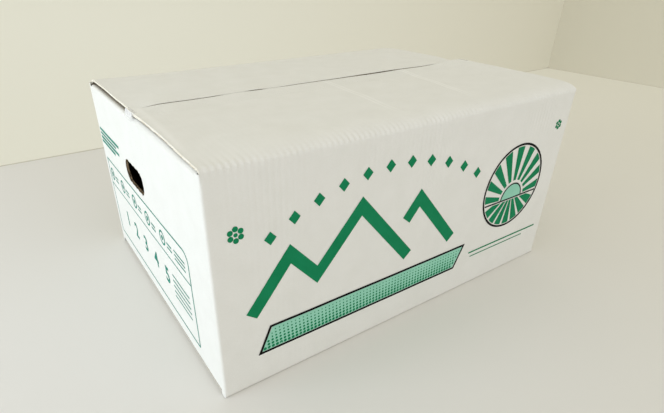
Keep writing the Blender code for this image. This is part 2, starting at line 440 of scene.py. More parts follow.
def tape_material():
    """Clear film: almost unseen where it sticks, milky where it bridges the step at the carton's ends."""
    material, tree, shader = new_material("clear_tape")
    shader.inputs["Base Color"].default_value = (0.93, 0.925, 0.93, 1)
    shader.inputs["Roughness"].default_value = 0.16
    place = object_place(tree)
    x, y, z = axes(tree, place)
    near_end = ranged(tree, math_value(tree, "ABSOLUTE", x), HALF_LENGTH - 0.006, HALF_LENGTH - 0.003)
    high_up = ranged(tree, z, SHORT_FLAP_TOP - 0.001, SHORT_FLAP_TOP + 0.003)
    beside_seam = ranged(tree, y, -0.022, -0.006)
    milky = math_value(tree, "MULTIPLY", math_value(tree, "MULTIPLY", near_end, high_up), beside_seam)
    patches = math_value(tree, "MULTIPLY", milky, noise_value(tree, place, 260, 3))
    alpha = ranged(tree, patches, 0.0, 0.6, 0.012, 0.85, "LINEAR")
    tree.links.new(alpha, shader.inputs["Alpha"])
    return material


TAPE = tape_material()


# Walls

def sleeve_levels(wall, s):
    """Foot and head of the sleeve at s: it gives way to the flaps' own skin, and reaches up beside them."""
    if wall in END_WALLS:
        beside = np.abs(s) > SHORT_FLAP_HALF
        foot = np.where(beside, CORNER_FOOT, BOTTOM_SHORT_LEVEL + FOLD_BAND - BOARD)
        head = np.where(beside, CORNER_HEAD, SHORT_FLAP_TOP - FOLD_BAND + BOARD)
        return foot, head
    x = s * WALLS[wall]["along"][0]
    left, right = flap_reach(wall, "top")
    beside = (x < left - STEP_WIDTH / 2) | (x > right + STEP_WIDTH / 2)
    return np.full(len(s), FOLD_BAND), np.where(beside, CORNER_HEAD, CREASE_LEVEL - FOLD_BAND)


def build_columns(wall):
    """A wall's columns, with a doubled one where the sleeve's levels step, and the rows at each."""
    half = WALLS[wall]["half"] - UPRIGHT_RADIUS
    s = along_wall(wall, -half, half, SKIN_STEP)
    if wall in END_WALLS:
        steps = np.array([-SHORT_FLAP_HALF - STEP_WIDTH, -SHORT_FLAP_HALF, SHORT_FLAP_HALF,
                          SHORT_FLAP_HALF + STEP_WIDTH])
        s = np.sort(np.concatenate((s, steps)))
    else:
        for x in flap_reach(wall, "top"):
            if abs(x) < half - STEP_WIDTH:
                at = x * WALLS[wall]["along"][0]
                s = np.sort(np.concatenate((s, [at, at + STEP_WIDTH * np.sign(at)])))
    low, high = hole_edges(wall, s)
    foot, head = sleeve_levels(wall, s)
    z = np.hstack((spread(foot, low, LOWER_SHARES), spread(high, head, UPPER_SHARES)))
    return wall, s, z, high > low


def build_sleeve():
    """The sleeve's mesh: walls and rounded corners, with both hand holes."""
    walls = [build_columns(wall) for wall in WALLS]
    order = list(WALLS)
    fronts, backs, all_open = [], [], []
    for index, (wall, s, z, is_open) in enumerate(walls):
        fronts.append(wall_point(wall, s[:, None], z, 0))
        backs.append(wall_point(wall, s[:, None], z, LINER))
        all_open.append(is_open)
        following = WALLS[order[(index + 1) % 4]]
        plan = WALLS[wall]
        out, turn_to = np.array(plan["out"]), np.array(following["out"])
        corner = np.array(plan["middle"]) + np.array(plan["along"]) * (plan["half"] - UPRIGHT_RADIUS)
        centre = corner - out * UPRIGHT_RADIUS
        long_first = wall not in END_WALLS
        long_wall = wall if long_first else order[(index + 1) % 4]
        side = 0 if corner[0] < 0 else 1
        turns = {where: end_turn(flap_reach(long_wall, where)[side]) for where in ("top", "bottom")}
        shares = {k / UPRIGHT_STEPS for k in range(1, UPRIGHT_STEPS)}
        for turn in turns.values():
            edge = turn if long_first else 1 - turn
            shares |= {share for share in (edge - STEP_SHARE, edge + STEP_SHARE) if 0 < share < 1}
        for share in sorted(shares):
            heading = out * cos(share * pi / 2) + turn_to * sin(share * pi / 2)
            covered = share if long_first else 1 - share
            foot = FOLD_BAND if covered < turns["bottom"] else CORNER_FOOT
            head = CREASE_LEVEL - FOLD_BAND if covered < turns["top"] else CORNER_HEAD
            level = np.concatenate((foot + (HOLE_LEVEL - foot) * LOWER_SHARES,
                                    HOLE_LEVEL + (head - HOLE_LEVEL) * UPPER_SHARES))
            for store, radius in ((fronts, UPRIGHT_RADIUS), (backs, UPRIGHT_RADIUS - LINER)):
                xy = centre + heading * radius
                column = np.column_stack((np.full_like(level, xy[0]), np.full_like(level, xy[1]), level))
                store.append(column[None])
            all_open.append(np.array([False]))
    is_open = np.concatenate(all_open)
    quads = block_quads(is_open, len(LOWER_SHARES), len(UPPER_SHARES), cyclic=True)
    piece = sheet_mesh("outer_liner", np.vstack(fronts), np.vstack(backs), quads, WHITE)
    dress(piece, "carton", "white_board", "front_panel", "back_panel", "left_end_panel", "right_end_panel")


FLUTE_DEPTH = (BOARD - MEDIUM) / 2
FLUTE_SWING = FLUTE_DEPTH - LINER
INNER_LAYERS = (("fluting", FLUTE_STEP, FLUTING), ("inner_liner", FLUTE / 2, KRAFT))


def layer_depth(name, s):
    """How deep a layer's outer side lies beneath the board's outer face at s, and its thickness."""
    if name == "fluting":
        return FLUTE_DEPTH - FLUTE_SWING * np.cos(2 * pi * s / FLUTE), MEDIUM
    return BOARD - LINER + 0 * s, LINER


def build_wall_layers(wall):
    """The fluted sheet and the brown inner liner of a wall, mitred short of the corners."""
    if wall in END_WALLS:
        foot, head, inset = BOTTOM_SHORT_LEVEL + BOARD, SHORT_FLAP_TOP - BOARD, BOARD + 0.0003
    else:
        foot, head, inset = BOARD, CREASE_LEVEL - BOARD - 0.0004, BOARD
    half = WALLS[wall]["half"] - inset
    for name, step, material in INNER_LAYERS:
        s = along_wall(wall, -half, half, step)
        low, high = hole_edges(wall, s)
        z = np.hstack((spread(foot + 0 * s, low, FEW_SHARES), spread(high, head + 0 * s, FEW_SHARES)))
        outer, thickness = layer_depth(name, s[:, None])
        front = wall_point(wall, s[:, None], z, outer)
        back = wall_point(wall, s[:, None], z, outer + thickness)
        quads = block_quads(high > low, len(FEW_SHARES), len(FEW_SHARES))
        dress(sheet_mesh(wall + "_" + name, front, back, quads, material), "carton", "kraft_board")


def build_glue_tab():
    """The joining tab, glued inside the back wall at the right-hand corner."""
    low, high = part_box("glue_tab")
    z = np.linspace(low.z, high.z, 4)[None, :]
    y_face = high.y - 0.0001
    for name, step, material in (("liner", FLUTE / 2, WHITE), *INNER_LAYERS):
        x = np.append(np.arange(high.x - 0.0002, low.x, -step), low.x)[:, None]
        outer, thickness = layer_depth(name, x)
        if name == "liner":
            outer = 0.0 * x
        elif name == "inner_liner":
            outer = outer - 0.0002
        x_all, z_all, outer = np.broadcast_arrays(x, z, outer)
        front = np.stack((x_all, y_face - outer, z_all), axis=-1)
        back = np.stack((x_all, y_face - outer - thickness, z_all), axis=-1)
        piece = sheet_mesh("glue_tab_" + name, front, back, grid_quads(*x_all.shape), material)
        if name == "liner":
            dress(piece, "carton", "white_board", "glue_tab")
        else:
            dress(piece, "carton", "kraft_board")


# Flaps

FLAP_WAVES = {word: swell_waves(8, 0.05, 0.25) for word in LONG_WALLS}
FLAP_SIDE = {"front": -1, "back": 1}
WALL_ROWS = 4               # rows of a flap's skin below its fold
FLAP_RIPPLE = 0.3           # how plainly the flutes show on a long flap
CREASE_DENT = 0.00105       # how deeply the flutes dent a long flap's crease, and the board beyond it
DENT_BEYOND = 0.00009


def crease_radius(x):
    """The soft fold of the front crease is tight at the left corner and wide past the middle."""
    tight = 0.0014 * smoothstep(-x, 0.19, 0.245)
    return 0.0030 - tight + 0.0030 * smoothstep(x, -0.22, -0.02) - 0.0012 * smoothstep(x, 0.10, 0.22)


def rise_slope(word, x):
    """How steeply a long top flap leaves its crease, in radians: more at the front flap's left end."""
    if word == "back":
        return radians(16) + 0 * x
    return radians(33) + radians(16) * smoothstep(-x, 0.17, 0.245)


def scallop_strength(x):
    """How deeply the flutes dent the crease, from place to place."""
    middle = 0.40 * np.exp(-((x + 0.04) / 0.07) ** 2)
    return 0.75 + middle + 0.28 * np.sin(47 * x) + 0.22 * np.sin(113 * x + 1)


# Places along the seam, and how much further than in the solids each long top flap reaches there
SEAM_CLOSING = ((-0.250, -0.235, -0.215, -0.150, -0.140, -0.118, -0.106, -0.098, -0.088, -0.078, -0.045,
                 -0.010, 0.030, 0.060, 0.105, 0.125, 0.190, 0.250),
                (0.00034, 0.00024, 0.0, 0.00004, 0.00026, 0.00034, 0.00006, 0.0, 0.00028, 0.00030,
                 0.00016, 0.00014, 0.00008, -0.00004, -0.00004, 0.00004, 0.00010, 0.00030))


def seam_closing(x):
    """How much further than in the solids each long top flap reaches towards the other, along the seam."""
    return np.interp(x, *SEAM_CLOSING) + 0.00004 * np.sin(260 * x)


# How a long top flap's left end departs from the flap's even rise: distances in from the wall, and heights
LEFT_END = {
    "front": ((0.0, 0.003, 0.008, 0.0145, 0.033, 0.058, 0.079, 0.103, 0.136, 0.174, 0.187),
              (0.0, 0.0, -0.0020, -0.0026, -0.0021, -0.0008, 0.0002, 0.0005, 0.0006, -0.0008, -0.0011)),
    "back": ((0.0, 0.002, 0.006, 0.012, 0.033, 0.078, 0.116, 0.152, 0.178, 0.187),
             (0.0, 0.0008, 0.0014, 0.0010, -0.0006, -0.0008, -0.0018, -0.0014, -0.0018, -0.0018)),
}


# Places along the seam, and how far the back flap's edge stands above the front flap's there
SEAM_STEP = ((-0.250, -0.228, -0.150, -0.140, -0.116, -0.106, -0.092, -0.086, -0.076, -0.060, 0.000, 0.040,
              0.060, 0.105, 0.125, 0.190, 0.215),
             (0.0, 0.00040, 0.00035, 0.00006, 0.0, 0.00060, 0.00060, 0.00010, 0.00010, 0.00035,
              0.00045, 0.00065, 0.00105, 0.00105, 0.00055, 0.00045, 0.0))


def flap_lift(word, x, d):
    """How far a long top flap lies above or below its even height, d in from the wall."""
    inward = smoothstep(d, 0.004, 0.06)
    at_seam = smoothstep(d, 0.12, 0.18)
    shared = swell(FLAP_WAVES["front"], x, d)
    uneven = 0.00035 * (swell(FLAP_WAVES[word], x, d) * (1 - at_seam) + shared * at_seam)
    step = np.interp(x, *SEAM_STEP) * (0.5 if word == "back" else -0.5) * at_seam
    right = smoothstep(x, 0.15, HALF_LENGTH)
    right_end = smoothstep(x, 0.185, HALF_LENGTH)
    if word == "front":
        lift = 0.0008 * right + 0.0018 * right_end * smoothstep(d, 0.06, 0.14)
    else:
        lift = -0.0024 * right_end * smoothstep(d, 0.14, 0.18)
    left_end = np.interp(d, *LEFT_END[word])
    share = smoothstep(-x, 0.165 + 0.045 * smoothstep(d, 0.13, 0.16), 0.243)
    return inward * (uneven * (1 - share) + lift) + left_end * share + step


def long_flap_grid(word, up, columns):
    """The outer skin of a long flap, from its wall to the seam: points, and how far in from the wall."""
    side = FLAP_SIDE[word]
    x = columns[:, None]
    s = x * WALLS[word]["along"][0]
    if up > 0:
        radius = crease_radius(x) if word == "front" else 0.0035 - 0.0018 * smoothstep(-x, 0.19, 0.245)
        slope, rise, level = rise_slope(word, x), FLAP_RISE, CREASE_LEVEL
    else:
        radius, slope, rise, level = BOTTOM_FOLD_RADIUS + 0 * x, 0 * x, 0.0, 0.0
    turn = pi / 2 - slope
    start = level - up * radius * np.sin(turn)
    foot = level - up * FOLD_BAND
    wall_rows = foot + (start - foot) * np.linspace(0, 1, WALL_ROWS + 1)[None, :-1]
    turns = turn * np.linspace(0, 1, 8)[None, :]
    fold_d = radius * (1 - np.cos(turns))
    fold_z = start + up * radius * np.sin(turns)
    begin = fold_d[:, -1:]
    reach = HALF_WIDTH - SEAM_HALF - begin
    if up > 0:
        reach = reach + seam_closing(x)
    shares = (np.arange(1, 27) / 26)[None, :] ** 2
    flap_d = begin + reach * shares
    flap_z = np.full_like(flap_d, level)
    if up > 0:
        flap_z = level + rise * (1 - np.exp(-(flap_d - begin) * np.tan(slope) / rise))
    d = np.hstack((np.zeros_like(wall_rows), fold_d, flap_d))
    z = np.hstack((wall_rows, fold_z, flap_z))
    beyond = np.maximum(np.abs(x) - (HALF_LENGTH - UPRIGHT_RADIUS), 0)
    corner = UPRIGHT_RADIUS - np.sqrt(np.maximum(UPRIGHT_RADIUS ** 2 - beyond ** 2, 0))
    out = wall_height(word, s, z) * (1 - smoothstep(d, 0.0, 0.004))
    out = out - corner * smoothstep(np.abs(z - level), 0.0015, 0.0075) * (d < 0.004)
    y = side * (HALF_WIDTH - d + out)
    points = np.stack(np.broadcast_arrays(x, y, z), axis=-1).copy()
    return points, d


def flap_normals(points, word, up):
    """Normals that point out of the carton."""
    normal = unit_normals(points)
    return normal if (word == "front") == (up > 0) else -normal


def build_inner_layers(name, body, grid, flip):
    """A flap's fluted sheet and inner liner, beneath the outer skin's points that grid gives for a step."""
    for layer, step, material in INNER_LAYERS:
        s, points, normal = grid(step)
        outer, thickness = layer_depth(layer, s[:, None, None])
        piece = sheet_mesh(name + layer, points - normal * outer, points - normal * (outer + thickness),
                           turned(grid_quads(*points.shape[:2]), flip), material)
        dress(piece, body, "kraft_board")


def build_long_flap(word, where):
    """A long flap: outer liner bending at the crease, fluted sheet and inner liner."""
    up = 1 if where == "top" else -1
    node = where + "_flap_" + word
    flip = (word == "front") != (up > 0)
    body = word + "_flap" if up > 0 else "carton"
    left_end, right_end = flap_reach(word, where)
    columns = along_wall("front", left_end, right_end, SKIN_STEP)
    points, d = long_flap_grid(word, up, columns)
    normal = flap_normals(points, word, up)
    x = columns[:, None]
    height = np.zeros_like(d)
    if up > 0:
        points[..., 2] += flap_lift(word, x, d)
        near = np.exp(-d / 0.005) * smoothstep(points[..., 2], CREASE_LEVEL - 0.0050, CREASE_LEVEL - 0.0008)
        beyond = smoothstep(d, 0.0, 0.004) * np.exp(-d / 0.022)
        wave = 0.5 - 0.5 * np.cos(2 * pi * x / FLUTE)
        height = -scallop_strength(x) * wave * (CREASE_DENT * near + DENT_BEYOND * beyond)
        height = height + FLAP_RIPPLE * ripple(x) * smoothstep(d, 0.0, 0.02)
    front = points + normal * height[..., None]
    back = points + normal * (height - LINER)[..., None]
    paper = TOP_WHITE if (where, word) == ("top", "front") else WHITE
    piece = sheet_mesh(where + "_" + word + "_liner", front, back, turned(grid_quads(*d.shape), flip), paper)
    if up > 0:
        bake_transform(piece)
    else:
        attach(piece, "carton")
    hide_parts(node)

    def inner_grid(step):
        s = along_wall("front", left_end + 0.0004, right_end - 0.0004, step)
        points, d = long_flap_grid(word, up, s)
        if up > 0:
            points[..., 2] += flap_lift(word, s[:, None], d)
        normal = flap_normals(points, word, up)
        last = d.shape[1] - 1
        keep = np.unique(np.append(np.where(d[0] > (0.0045 if up > 0 else 0.0040))[0][::2], last))
        return s, points[:, keep], normal[:, keep]

    build_inner_layers(where + "_" + word + "_", body, inner_grid, flip)


def short_flap_sag(y, d):
    """How far a closed short flap lies below its even level, d in from its end wall.

    Under the front flap its crease stands proud. Under the back flap it lies lower, which opens the slot.
    """
    back = smoothstep(y, -0.01, 0.02)
    dip = smoothstep(d, 0.005, 0.014) * (1 - 0.75 * smoothstep(d, 0.02, 0.07))
    crest = smoothstep(d, 0.0, 0.0045) * (1 - smoothstep(d, 0.007, 0.016))
    proud = -0.0001 * back + (0.0010 + 0.0014 * smoothstep(y, -0.15, -0.09)) * (1 - back)
    return (0.0008 + 0.0017 * back) * dip - proud * crest


def build_short_flap(wall, where):
    """A short flap under the long ones, or over them at the bottom."""
    up = 1 if where == "top" else -1
    node = where + "_flap_" + wall
    body = wall + "_flap" if up > 0 else "carton"
    low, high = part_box(node)
    plan = WALLS[wall]
    side = plan["out"][0]
    level = high.z if up > 0 else low.z
    radius = SHORT_FOLD_RADIUS

    def grid(step):
        s = along_wall("front", -high.y, high.y, step)
        wall_rows = np.linspace(level - up * (FOLD_BAND - BOARD), level - up * radius, 4)[:-1]
        turns = np.linspace(0, pi / 2, 6)
        flap = radius + (SHORT_FLAP_SPAN - radius) * np.linspace(0, 1, 16)[1:] ** 2
        d = np.concatenate((0 * wall_rows, radius * (1 - np.cos(turns)), flap))
        z = np.concatenate((wall_rows, level - up * radius * (1 - np.sin(turns)), np.full(len(flap), level)))
        d, z, across = np.broadcast_arrays(d[None, :], z[None, :], s[:, None])
        y = plan["along"][1] * across
        if up > 0:
            z = z - short_flap_sag(y, d)
        points = np.stack((side * (HALF_LENGTH - d), y, z), axis=-1)
        return s, d, points, unit_normals(points) * up

    s, d, points, normal = grid(SKIN_STEP)
    height = (ripple(s)[:, None] * smoothstep(d, 0, 0.02))[..., None]
    piece = sheet_mesh(where + "_" + wall + "_liner", points + normal * height,
                       points + normal * (height - LINER), turned(grid_quads(*d.shape), up < 0), WHITE)
    if up > 0:
        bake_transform(piece)
    else:
        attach(piece, "carton")
    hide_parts(node)

    def inner_grid(step):
        s, d, points, normal = grid(step)
        keep = d[0] > 0.0036
        return s, points[:, keep], normal[:, keep]

    build_inner_layers(where + "_" + wall + "_", body, inner_grid, up < 0)


# Cut edges at the ends of the long flaps, where the cut runs along a flute

def build_flap_ends(word):
    """The pale, slightly uneven edge of a long top flap at its left and right ends."""
    lip = 0.0005 if word == "front" else -0.0001
    depths = np.array([0.0, 0.0007, 0.0014, 0.0021, BOARD + lip])
    for end, x, sign in zip(("left", "right"), flap_reach(word, "top"), (-1, 1)):
        columns = np.array([x])
        points, d = long_flap_grid(word, 1, columns)
        points[..., 2] += flap_lift(word, columns[:, None], d)
        profile, inward = points[0, WALL_ROWS:], d[0, WALL_ROWS:]
        down = np.cross([FLAP_SIDE[word], 0, 0], unit(np.gradient(profile, axis=0)))
        crush = 0.00022 * np.sin(900 * inward[:, None] + 4000 * depths[None, :])
        crush = crush + 0.00018 * np.sin(313 * inward[:, None] + 1)
        tuck = -0.00045 * (depths[None, :] / BOARD) ** 2
        out = sign * (crush * np.sin(pi * depths / BOARD)[None, :] + tuck)
        front = profile[:, None, :] + down[:, None, :] * depths[None, :, None]
        front[..., 0] += out
        back = front - np.array([sign * MEDIUM, 0, 0])
        quads = turned(grid_quads(*out.shape), (sign > 0) == (word == "front"))
        piece = sheet_mesh("edge_" + word + "_" + end, front, back, quads, CUT_EDGE)
        dress(piece, word + "_flap", "white_board")


# Clear tape

TAPE_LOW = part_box("tape_end_left")[0].y
TAPE_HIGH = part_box("tape_end_left")[1].y
TAPE_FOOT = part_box("tape_end_left")[0].z
FILM = 0.00005
FILM_CLEARANCE = 0.00006


def flap_level(word, x, y):
    """The level of a long top flap's outer skin at (x, y), away from its crease."""
    d = HALF_WIDTH - np.abs(y)
    even = CREASE_LEVEL + FLAP_RISE * (1 - np.exp(-d * np.tan(rise_slope(word, x)) / FLAP_RISE))
    return even + flap_lift(word, x, d) + FLAP_RIPPLE * ripple(x)


def build_flap_tape(word):
    """The half of the tape on a long top flap."""
    low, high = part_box("tape_top_" + word)
    start, stop = flap_reach(word, "top")
    x, y = np.meshgrid(np.arange(start, stop, SKIN_STEP), np.linspace(low.y, high.y, 7), indexing="ij")
    level = flap_level(word, x, y) + FILM_CLEARANCE
    front, back = np.stack((x, y, level + FILM), axis=-1), np.stack((x, y, level), axis=-1)
    piece = sheet_mesh("tape_" + word, front, back, grid_quads(*x.shape), TAPE)
    dress(piece, word + "_flap", "clear_tape", "tape_top_" + word)


def build_tape_tail(wall):
    """The tape's end: it bridges the step at a flap's end and runs down the end wall."""
    sign = WALLS[wall]["out"][0]
    y = np.linspace(TAPE_LOW, TAPE_HIGH, 17)
    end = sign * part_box("top_flap_front")[1].x
    top = np.array([float(flap_level("front" if v < 0 else "back", end, v)) for v in y]) + 0.0001
    shares = np.linspace(0, 1, 9)[None, :]
    bulge = 0.0009 * np.sin(pi * shares) + 0.0003 * np.sin(90 * y[:, None] + 7 * shares)
    edge_x = HALF_LENGTH + 0.0003
    top_x = abs(end) - 0.0006
    landing = SHORT_FLAP_TOP - 0.0035
    x_bridge = top_x + (edge_x - top_x) * np.sqrt(shares) + bulge * shares
    z_bridge = top[:, None] + (landing - top[:, None]) * shares ** 1.15
    z_wall = np.broadcast_to(np.linspace(landing, TAPE_FOOT, 22)[None, 1:], (len(y), 21))
    s = y[:, None] * WALLS[wall]["along"][1]
    x_wall = HALF_LENGTH + wall_height(wall, s, z_wall) + FILM_CLEARANCE
    x_wall = x_wall + 0.0003 * np.exp(-(landing - z_wall) / 0.002)
    x = np.hstack((x_bridge, x_wall))
    z = np.hstack((z_bridge, z_wall))
    y_all = np.broadcast_to(y[:, None], x.shape)
    front = np.stack((sign * (x + FILM), y_all, z), axis=-1)
    back = np.stack((sign * x, y_all, z), axis=-1)
    piece = sheet_mesh("tape_tail_" + wall, front, back, turned(grid_quads(*x.shape), sign > 0), TAPE)
    dress(piece, "carton", "clear_tape", "tape_end_" + wall)


# Print: thin films of ink that follow the board, drawn in wall coordinates (s along, z up)

INK = 0.00004
INK_CLEARANCE = 0.00016
CURVE_STEP = radians(6)


def circle(centre, radius, start=0.0, end=2 * pi, step=CURVE_STEP):
    """Points round a circle or along an arc."""
    count = max(3, int(abs(end - start) / step) + 1)
    full = abs(abs(end - start) - 2 * pi) < 1e-6
    angles = np.linspace(start, end, count, endpoint=not full)
    return np.column_stack((centre[0] + radius * np.cos(angles), centre[1] + radius * np.sin(angles)))


def subdivided(loop, longest=0.004):
    """A closed outline with points no further apart than longest."""
    points = []
    for here, there in zip(loop, np.roll(loop, -1, axis=0)):
        count = max(1, int(np.ceil(np.linalg.norm(there - here) / longest)))
        points += [here + (there - here) * k / count for k in range(count)]
    return np.array(points)


def inside(loop, points):
    """Which points lie inside a closed outline."""
    result = np.zeros(len(points), bool)
    for (x0, z0), (x1, z1) in zip(loop, np.roll(loop, -1, axis=0)):
        crosses = (z0 > points[:, 1]) != (z1 > points[:, 1])
        height = np.where(z1 == z0, 1e-12, z1 - z0)
        result ^= crosses & (points[:, 0] < (x1 - x0) * (points[:, 1] - z0) / height + x0)
    return result


def area(loop, holes=()):
    """Triangles that fill an outline, with points inside it on the flutes' lattice."""
    loops = [subdivided(np.asarray(part)) for part in (loop, *holes)]
    low, high = loops[0].min(axis=0), loops[0].max(axis=0)
    lattice_x = np.arange(np.ceil(low[0] / (FLUTE / 2)), np.floor(high[0] / (FLUTE / 2)) + 1) * FLUTE / 2
    lattice_z = np.arange(low[1] + 0.004, high[1], 0.008)
    fill = np.array([(x, z) for x in lattice_x for z in lattice_z]).reshape(-1, 2)
    if len(fill):
        keep = inside(loops[0], fill)
        for hole in loops[1:]:
            keep &= ~inside(hole, fill)
        outline = np.vstack(loops)
        gap = np.min(np.linalg.norm(fill[:, None] - outline[None], axis=2), axis=1)
        fill = fill[keep & (gap > 0.0012)]
    points = np.vstack(loops + [fill]) if len(fill) else np.vstack(loops)
    edges, offset = [], 0
    for part in loops:
        edges += [(offset + k, offset + (k + 1) % len(part)) for k in range(len(part))]
        offset += len(part)
    flat, _, faces, _, _, _ = geometry.delaunay_2d_cdt([Vector(q) for q in points], edges, [], 0, 1e-7)
    flat = np.array([tuple(q) for q in flat])
    faces = np.array(faces)
    middle = flat[faces].mean(axis=1)
    keep = inside(loops[0], middle)
    for hole in loops[1:]:
        keep &= ~inside(hole, middle)
    return flat, faces[keep]


def stroke(path, width, closed=False):
    """Triangles of a line of even width along a path, mitred at its corners."""
    path = np.asarray(path, float)
    before, after = np.roll(path, 1, axis=0), np.roll(path, -1, axis=0)
    lead, follow = path - before, after - path
    if not closed:
        lead[0], follow[-1] = follow[0], lead[-1]
    lead, follow = unit(lead), unit(follow)
    normal = unit(np.column_stack((-(lead + follow)[:, 1], (lead + follow)[:, 0])))
    lean = np.maximum(np.abs(normal[:, 0] * -follow[:, 1] + normal[:, 1] * follow[:, 0]), 0.4)
    half = normal * (width / 2 / lean)[:, None]
    outer, inner = path + half, path - half
    if not closed:
        return area(np.vstack((inner, outer[::-1])))
    if not inside(outer, inner[:1])[0]:
        outer, inner = inner, outer
    return area(outer, [inner])


def print_film(name, wall, shapes, layer, material, slot):
    """One piece of ink on a wall from many flat shapes."""
    points, faces, offset = [], [], 0
    for flat, triangles in shapes:
        a, b, c = (flat[triangles[:, k]] for k in range(3))
        turn = (b - a)[:, 0] * (c - a)[:, 1] - (b - a)[:, 1] * (c - a)[:, 0]
        triangles = np.where(turn[:, None] > 0, triangles, triangles[:, ::-1])
        points.append(flat)
        faces.append(triangles + offset)
        offset += len(flat)
    flat = np.vstack(points)
    height = INK_CLEARANCE + layer * INK
    front = wall_point(wall, flat[:, 0], flat[:, 1], -(height + INK))
    back = wall_point(wall, flat[:, 0], flat[:, 1], -height)
    dress(sheet_mesh(name, front, back, np.vstack(faces), material), "carton", slot)


# The long walls' print: a sunrise emblem, a bold ridge line under an arc of diamonds, and a dotted band

EMBLEM_CENTRE = (0.158, 0.128)
EMBLEM_RADIUS = 0.056
OUTLINE_WIDTH = 0.0027
BLADE_REACH = EMBLEM_RADIUS - OUTLINE_WIDTH - 0.0012
HORIZON = 0.112
FURROW_GAP = 0.0022
SUN_RADIUS = 0.019
RAYS = 9
FURROWS = 9
RIDGE = ((-0.213, 0.088), (-0.170, 0.142), (-0.140, 0.108), (-0.088, 0.168), (-0.018, 0.088))
RIDGE_WIDTH = 0.0135
LOW_RIDGE = ((-0.026, 0.134), (-0.008, 0.156), (0.052, 0.088))
DIAMONDS = 11
DIAMOND_HALF = (0.0062, 0.0068)
DIAMOND_ARC_CENTRE = (-0.055, -0.060)
DIAMOND_ARC_RADIUS = 0.262
BAND = (-0.205, 0.066, 0.040, 0.066)     # low and high s, low and high level
DOT_PITCH = 0.0046
ROW_PITCH = 0.87            # of the dots' pitch
ROSETTES = ((-0.222, 0.178, 0.009), (0.226, 0.196, 0.007))      # place and radius
GROUND_LINES = ((((0.094, 0.051), (0.16, 0.0512), (0.232, 0.051)), 0.0021),
                (((0.098, 0.0446), (0.15, 0.0447), (0.205, 0.0446)), 0.0014))


def fan_blade(origin, start, end, inner):
    """A flat blade between two headings from a point, out to the emblem's rim, where it fits inside it."""
    origin = np.array(origin)
    away = origin - np.array(EMBLEM_CENTRE)
    near, far = [], []
    for angle in np.linspace(start, end, 5):
        heading = np.array([cos(angle), sin(angle)])
        along = away @ heading
        first = origin + heading * inner(heading)
        if np.linalg.norm(first - EMBLEM_CENTRE) < EMBLEM_RADIUS - OUTLINE_WIDTH - 0.002:
            near.append(first)
            far.append(origin + heading * (-along + np.sqrt(along ** 2 - away @ away + BLADE_REACH ** 2)))
    return [area(np.vstack((near, far[::-1])))] if len(near) > 1 else []


def emblem_shapes():
    """The emblem's deep green, pale green and black shapes: rays over a sun, and furrows below it."""
    sun = (EMBLEM_CENTRE[0], HORIZON)
    vanishing = (EMBLEM_CENTRE[0], HORIZON + 0.012)
    green = []
    for k in range(RAYS):
        green += fan_blade(sun, pi * (k + 0.22) / RAYS, pi * (k + 0.78) / RAYS,
                           lambda heading: SUN_RADIUS * 1.28)
    for k in range(FURROWS):
        green += fan_blade(vanishing, -pi + pi * (k + 0.12) / FURROWS, -pi + pi * (k + 0.86) / FURROWS,
                           lambda heading: (HORIZON - FURROW_GAP - vanishing[1]) / heading[1])
    pale = [area(circle(sun, SUN_RADIUS, 0, pi))]
    ground = [(sun[0] - 0.050, HORIZON), (sun[0], HORIZON - 0.0001), (sun[0] + 0.050, HORIZON)]
    black = [stroke(circle(EMBLEM_CENTRE, EMBLEM_RADIUS - OUTLINE_WIDTH / 2), OUTLINE_WIDTH, closed=True),
             stroke(circle(sun, SUN_RADIUS + 0.0008, 0, pi), 0.0018),
             stroke(ground, 0.0020)]
    return green, pale, black


def diamond_shapes():
    """Small diamonds along an arc above the ridge."""
    shapes = []
    for k in range(DIAMONDS):
        angle = radians(121 - 62 * k / (DIAMONDS - 1))
        x = DIAMOND_ARC_CENTRE[0] + DIAMOND_ARC_RADIUS * cos(angle)
        z = DIAMOND_ARC_CENTRE[1] + DIAMOND_ARC_RADIUS * sin(angle)
        wide, tall = DIAMOND_HALF
        shapes.append(area(np.array([(x - wide, z), (x, z - tall), (x + wide, z), (x, z + tall)])))
    return shapes


def band_loop(grow=0.0):
    """The slanted band's outline."""
    left, right, foot, head = BAND
    lean = 0.5 * (head - foot)
    return np.array([(left - grow, foot - grow), (right + grow, foot - grow),
                     (right + lean + grow, head + grow), (left + lean - grow, head + grow)])


def band_shapes():
    """The band's pale ground and its rows of deep green dots, smaller towards the top."""
    left, right, foot, head = BAND
    dots = []
    for row in range(int((head - foot) / (DOT_PITCH * ROW_PITCH))):
        z = foot + DOT_PITCH * (0.5 + ROW_PITCH * row)
        share = (z - foot) / (head - foot)
        radius = DOT_PITCH * (0.42 - 0.30 * share)
        start = left + 0.5 * (z - foot) + DOT_PITCH * (0.6 + 0.5 * (row % 2))
        for x in np.arange(start, right + 0.5 * (z - foot) - DOT_PITCH * 0.5, DOT_PITCH):
            dots.append(disc(x, z, radius))
    return [area(band_loop())], dots


def disc(x, z, radius, sides=10):
    """A small filled circle as a fan of triangles."""
    flat = np.vstack((circle((x, z), radius, step=2 * pi / sides), [(x, z)]))
    count = len(flat) - 1
    faces = np.array([(k, (k + 1) % count, count) for k in range(count)])
    return flat, faces


def rosette(x, z, radius):
    """Six petals round a point."""
    petals = []
    for k in range(6):
        angle = pi / 3 * k + pi / 6
        petals.append(disc(x + radius * 0.62 * cos(angle), z + radius * 0.62 * sin(angle), radius * 0.30))
    return petals + [disc(x, z, radius * 0.22)]


